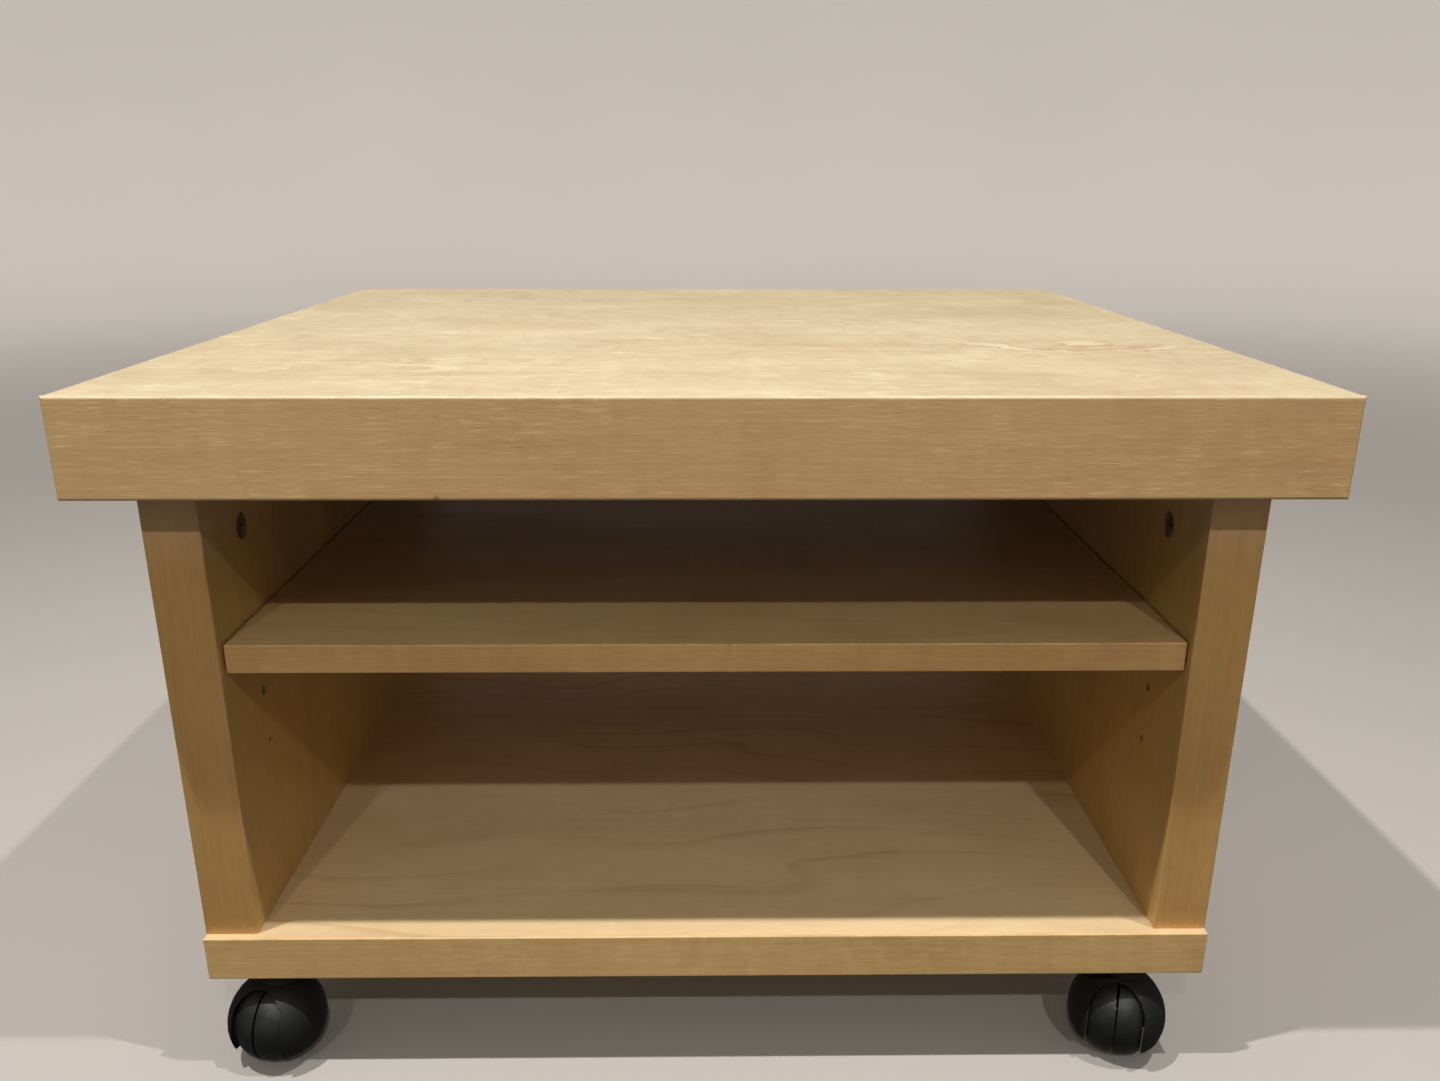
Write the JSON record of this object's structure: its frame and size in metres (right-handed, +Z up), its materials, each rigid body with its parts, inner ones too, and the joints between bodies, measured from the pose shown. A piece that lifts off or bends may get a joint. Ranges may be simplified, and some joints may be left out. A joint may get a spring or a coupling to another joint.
{
  "type": "rolling bench table",
  "caption": "Low rolling bench table: thick veneered top on side panels, open front and back, loose shelf between them, bottom board on swivel casters.",
  "frame": {"origin": "on the floor under the centre of the top", "axes": "+X to the right along the top's long side, +Y towards the back, +Z up; the front faces -Y"},
  "size_m": [0.6, 0.507, 0.391],
  "materials": {
    "top_veneer": "satin clear lacquer on pale birch veneer",
    "top_lipping": "satin clear lacquer on pale birch lipping",
    "side_veneer": "satin clear lacquer, grain upright",
    "board_veneer": "satin clear lacquer, grain along the board",
    "edge_band": "satin clear lacquer on thin edge band",
    "chipboard": "raw chipboard",
    "honeycomb_card": "brown kraft card",
    "beech": "raw beech",
    "die_cast_zinc": "dull die-cast zinc",
    "plated_steel": "bright zinc plate",
    "nickel_steel": "satin nickel plate",
    "hood_plastic": "dusty satin black",
    "wheel_plastic": "dusty dull black"
  },
  "bodies": {
    "bench": {"top_upper_skin": "top_veneer", "top_lower_skin": "top_veneer", "top_front_lipping": "top_lipping", "top_back_lipping": "top_lipping", "top_left_lipping": "top_lipping", "top_right_lipping": "top_lipping", "top_front_rail": "chipboard", "top_back_rail": "chipboard", "top_left_rail": "chipboard", "top_right_rail": "chipboard", "top_honeycomb_core": "honeycomb_card", "left_side_core": "chipboard", "left_side_inner_veneer": "side_veneer", "left_side_outer_veneer": "side_veneer", "left_side_front_band": "edge_band", "left_side_back_band": "edge_band", "right_side_core": "chipboard", "right_side_inner_veneer": "side_veneer", "right_side_outer_veneer": "side_veneer", "right_side_front_band": "edge_band", "right_side_back_band": "edge_band", "bottom_core": "chipboard", "bottom_upper_veneer": "board_veneer", "bottom_lower_veneer": "board_veneer", "bottom_front_band": "edge_band", "bottom_back_band": "edge_band", "bottom_left_band": "edge_band", "bottom_right_band": "edge_band", "cam_locks": "die_cast_zinc", "cam_bolts": "plated_steel", "dowels": "beech", "bottom_screws": "plated_steel", "shelf_supports": "nickel_steel", "caster_kingpins": "plated_steel", "caster_screws": "plated_steel", "front_left_caster_plate": "plated_steel", "front_right_caster_plate": "plated_steel", "back_left_caster_plate": "plated_steel", "back_right_caster_plate": "plated_steel"},
    "shelf": {"shelf_core": "chipboard", "shelf_upper_veneer": "board_veneer", "shelf_lower_veneer": "board_veneer", "shelf_front_band": "edge_band", "shelf_back_band": "edge_band"},
    "front_left_swivel": {"front_left_caster_hood": "hood_plastic", "front_left_caster_axle": "plated_steel"},
    "front_left_wheel_left": {"front_left_wheel_left": "wheel_plastic"},
    "front_left_wheel_right": {"front_left_wheel_right": "wheel_plastic"},
    "front_right_swivel": {"front_right_caster_hood": "hood_plastic", "front_right_caster_axle": "plated_steel"},
    "front_right_wheel_left": {"front_right_wheel_left": "wheel_plastic"},
    "front_right_wheel_right": {"front_right_wheel_right": "wheel_plastic"},
    "back_left_swivel": {"back_left_caster_hood": "hood_plastic", "back_left_caster_axle": "plated_steel"},
    "back_left_wheel_left": {"back_left_wheel_left": "wheel_plastic"},
    "back_left_wheel_right": {"back_left_wheel_right": "wheel_plastic"},
    "back_right_swivel": {"back_right_caster_hood": "hood_plastic", "back_right_caster_axle": "plated_steel"},
    "back_right_wheel_left": {"back_right_wheel_left": "wheel_plastic"},
    "back_right_wheel_right": {"back_right_wheel_right": "wheel_plastic"}
  },
  "joints": [
    {"name": "shelf_slide", "type": "slide", "parent": "bench", "child": "shelf", "axis": [0, -1, 0], "range_m": [0, 0.04]},
    {"name": "front_left_swivel", "type": "hinge", "parent": "bench", "child": "front_left_swivel", "pos_m": [-0.244, -0.2012, 0.058], "axis": [0, 0, 1], "continuous": true},
    {"name": "front_left_wheel_left_roll", "type": "hinge", "parent": "front_left_swivel", "child": "front_left_wheel_left", "pos_m": [-0.24811, -0.21769, 0.024], "axis": [0.9703, -0.2419, 0], "continuous": true},
    {"name": "front_left_wheel_right_roll", "type": "hinge", "parent": "front_left_swivel", "child": "front_left_wheel_right", "pos_m": [-0.24811, -0.21769, 0.024], "axis": [0.9703, -0.2419, 0], "continuous": true},
    {"name": "front_right_swivel", "type": "hinge", "parent": "bench", "child": "front_right_swivel", "pos_m": [0.244, -0.2012, 0.058], "axis": [0, 0, 1], "continuous": true},
    {"name": "front_right_wheel_left_roll", "type": "hinge", "parent": "front_right_swivel", "child": "front_right_wheel_left", "pos_m": [0.23763, -0.21696, 0.024], "axis": [0.9272, -0.3746, 0], "continuous": true},
    {"name": "front_right_wheel_right_roll", "type": "hinge", "parent": "front_right_swivel", "child": "front_right_wheel_right", "pos_m": [0.23763, -0.21696, 0.024], "axis": [0.9272, -0.3746, 0], "continuous": true},
    {"name": "back_left_swivel", "type": "hinge", "parent": "bench", "child": "back_left_swivel", "pos_m": [-0.244, 0.2012, 0.058], "axis": [0, 0, 1], "continuous": true},
    {"name": "back_left_wheel_left_roll", "type": "hinge", "parent": "back_left_swivel", "child": "back_left_wheel_left", "pos_m": [-0.24897, 0.18494, 0.024], "axis": [0.9563, -0.2924, 0], "continuous": true},
    {"name": "back_left_wheel_right_roll", "type": "hinge", "parent": "back_left_swivel", "child": "back_left_wheel_right", "pos_m": [-0.24897, 0.18494, 0.024], "axis": [0.9563, -0.2924, 0], "continuous": true},
    {"name": "back_right_swivel", "type": "hinge", "parent": "bench", "child": "back_right_swivel", "pos_m": [0.244, 0.2012, 0.058], "axis": [0, 0, 1], "continuous": true},
    {"name": "back_right_wheel_left_roll", "type": "hinge", "parent": "back_right_swivel", "child": "back_right_wheel_left", "pos_m": [0.23819, 0.18523, 0.024], "axis": [0.9397, -0.342, 0], "continuous": true},
    {"name": "back_right_wheel_right_roll", "type": "hinge", "parent": "back_right_swivel", "child": "back_right_wheel_right", "pos_m": [0.23819, 0.18523, 0.024], "axis": [0.9397, -0.342, 0], "continuous": true}
  ]
}
